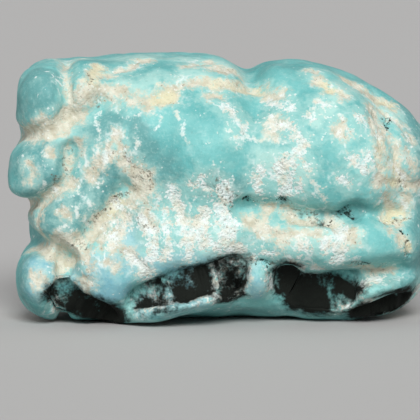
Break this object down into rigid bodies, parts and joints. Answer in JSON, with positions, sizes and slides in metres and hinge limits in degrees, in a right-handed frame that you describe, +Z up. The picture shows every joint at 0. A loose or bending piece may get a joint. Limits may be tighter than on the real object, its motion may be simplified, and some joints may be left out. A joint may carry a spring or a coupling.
{
  "type": "raw turquoise nugget",
  "caption": "Rough blocky stone nugget, knobbly at one end, with an overhung ledge along its front and small worn flats beneath that it rests on.",
  "frame": {"origin": "on the resting plane, under the middle of the bounding box", "axes": "+X along the nugget's length towards its rounded end, +Y from the pictured side to the back, +Z up"},
  "size_m": [0.035, 0.0206, 0.0221],
  "materials": {
    "turquoise": "satin"
  },
  "bodies": {
    "root": {"nugget": "turquoise"}
  },
  "joints": []
}
